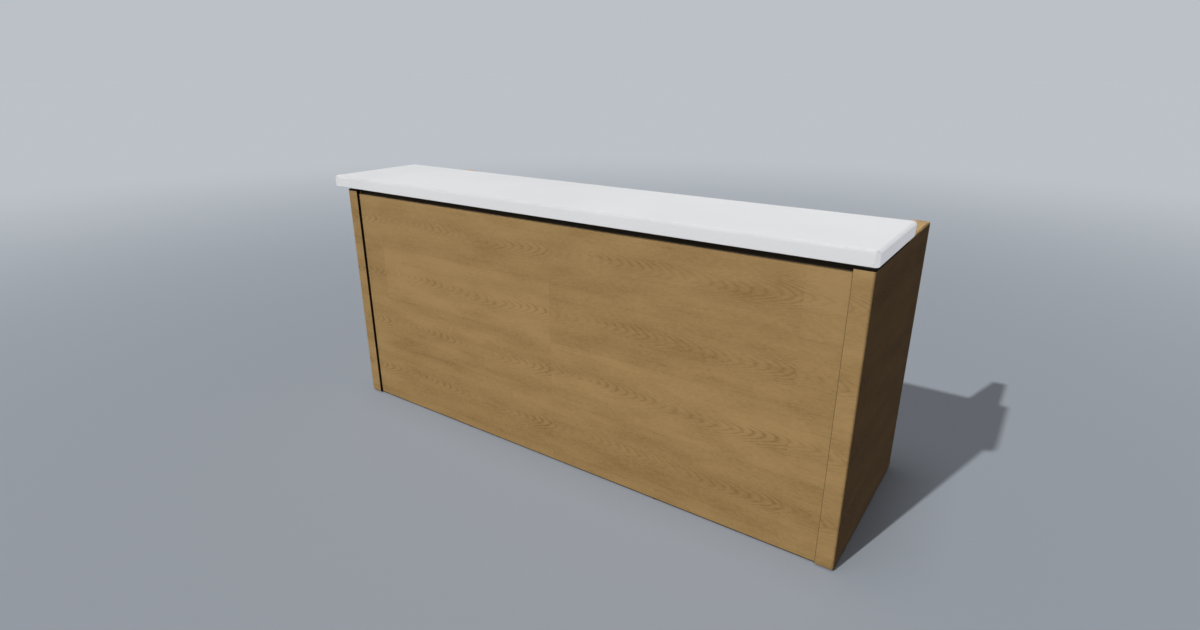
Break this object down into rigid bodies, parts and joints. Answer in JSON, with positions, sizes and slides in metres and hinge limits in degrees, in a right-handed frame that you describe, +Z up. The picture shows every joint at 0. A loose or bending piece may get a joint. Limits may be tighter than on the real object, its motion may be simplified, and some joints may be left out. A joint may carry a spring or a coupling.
{
  "type": "reception desk",
  "caption": "Straight reception desk: white floating counter top over a black shadow gap, oak-veneered front and side panels, seated-height worktop with flip-lid cable ports.",
  "frame": {"origin": "on the floor, at the centre of the desk's outline seen from above", "axes": "+X along the counter, towards the right of a visitor facing the desk; +Y from the visitor's side to the staff side; +Z up"},
  "size_m": [2.433, 0.835, 1.12],
  "materials": {
    "oak_veneer": "satin lacquer on straight and cathedral grain that runs along the panel",
    "counter_white": "satin white solid surface",
    "worktop_white": "white melamine on board, matching edge band",
    "batten_black": "matt black lacquer",
    "coated_steel": "fine textured black powder coat",
    "zinc_steel": "bright zinc plate",
    "port_plastic": "fine moulded texture",
    "port_aluminium": "brushed and anodised",
    "pad_rubber": "matt"
  },
  "bodies": {
    "desk": {"counter_top": "counter_white", "side_panel_left": "oak_veneer", "side_panel_right": "oak_veneer", "front_panel": "oak_veneer", "worktop": "worktop_white", "shadow_gap_batten": "batten_black", "counter_beam": "coated_steel", "worktop_beam": "coated_steel", "counter_beam_shoe_left": "coated_steel", "counter_beam_shoe_right": "coated_steel", "worktop_beam_shoe_left": "coated_steel", "worktop_beam_shoe_right": "coated_steel", "counter_shoe_bolt_left": "zinc_steel", "counter_shoe_bolt_right": "zinc_steel", "worktop_shoe_bolt_left": "zinc_steel", "worktop_shoe_bolt_right": "zinc_steel", "spacer_pad_front_left": "pad_rubber", "spacer_pad_front_right": "pad_rubber", "spacer_pad_rear_left": "pad_rubber", "spacer_pad_rear_right": "pad_rubber", "counter_bolt_front_left": "zinc_steel", "counter_bolt_front_right": "zinc_steel", "counter_bolt_rear_left": "zinc_steel", "counter_bolt_rear_right": "zinc_steel", "worktop_bolt_front_left": "zinc_steel", "worktop_bolt_front_right": "zinc_steel", "worktop_bolt_rear_left": "zinc_steel", "worktop_bolt_rear_right": "zinc_steel", "worktop_cleat_left": "coated_steel", "worktop_cleat_right": "coated_steel", "worktop_cleat_front": "coated_steel", "corner_bracket_lower_left": "coated_steel", "corner_bracket_lower_right": "coated_steel", "corner_bracket_upper_left": "coated_steel", "corner_bracket_upper_right": "coated_steel", "cable_tray": "coated_steel", "tray_strap_left": "coated_steel", "tray_strap_middle": "coated_steel", "tray_strap_right": "coated_steel", "port_frame_left": "port_plastic", "port_frame_right": "port_plastic", "port_pin_left": "zinc_steel", "port_pin_right": "zinc_steel", "foot_insert_front_left": "zinc_steel", "foot_insert_front_right": "zinc_steel", "foot_insert_rear_left": "zinc_steel", "foot_insert_rear_right": "zinc_steel", "foot_insert_panel_left": "zinc_steel", "foot_insert_panel_right": "zinc_steel"},
    "port_lid_left": {"port_lid_left": "port_aluminium"},
    "port_lid_right": {"port_lid_right": "port_aluminium"},
    "foot_front_left": {"foot_front_left": "zinc_steel"},
    "foot_front_right": {"foot_front_right": "zinc_steel"},
    "foot_rear_left": {"foot_rear_left": "zinc_steel"},
    "foot_rear_right": {"foot_rear_right": "zinc_steel"},
    "foot_panel_left": {"foot_panel_left": "zinc_steel"},
    "foot_panel_right": {"foot_panel_right": "zinc_steel"}
  },
  "joints": [
    {"name": "port_left_flip", "type": "hinge", "parent": "desk", "child": "port_lid_left", "pos_m": [-0.64, -0.229, 0.7395], "axis": [1, 0, 0], "range_deg": [0, 95]},
    {"name": "port_right_flip", "type": "hinge", "parent": "desk", "child": "port_lid_right", "pos_m": [0.64, -0.229, 0.7395], "axis": [1, 0, 0], "range_deg": [0, 95]},
    {"name": "foot_front_left_screw", "type": "slide", "parent": "desk", "child": "foot_front_left", "axis": [0, 0, -1], "range_m": [0, 0.012]},
    {"name": "foot_front_right_screw", "type": "slide", "parent": "desk", "child": "foot_front_right", "axis": [0, 0, -1], "range_m": [0, 0.012]},
    {"name": "foot_rear_left_screw", "type": "slide", "parent": "desk", "child": "foot_rear_left", "axis": [0, 0, -1], "range_m": [0, 0.012]},
    {"name": "foot_rear_right_screw", "type": "slide", "parent": "desk", "child": "foot_rear_right", "axis": [0, 0, -1], "range_m": [0, 0.012]},
    {"name": "foot_panel_left_screw", "type": "slide", "parent": "desk", "child": "foot_panel_left", "axis": [0, 0, -1], "range_m": [0, 0.012]},
    {"name": "foot_panel_right_screw", "type": "slide", "parent": "desk", "child": "foot_panel_right", "axis": [0, 0, -1], "range_m": [0, 0.012]}
  ]
}
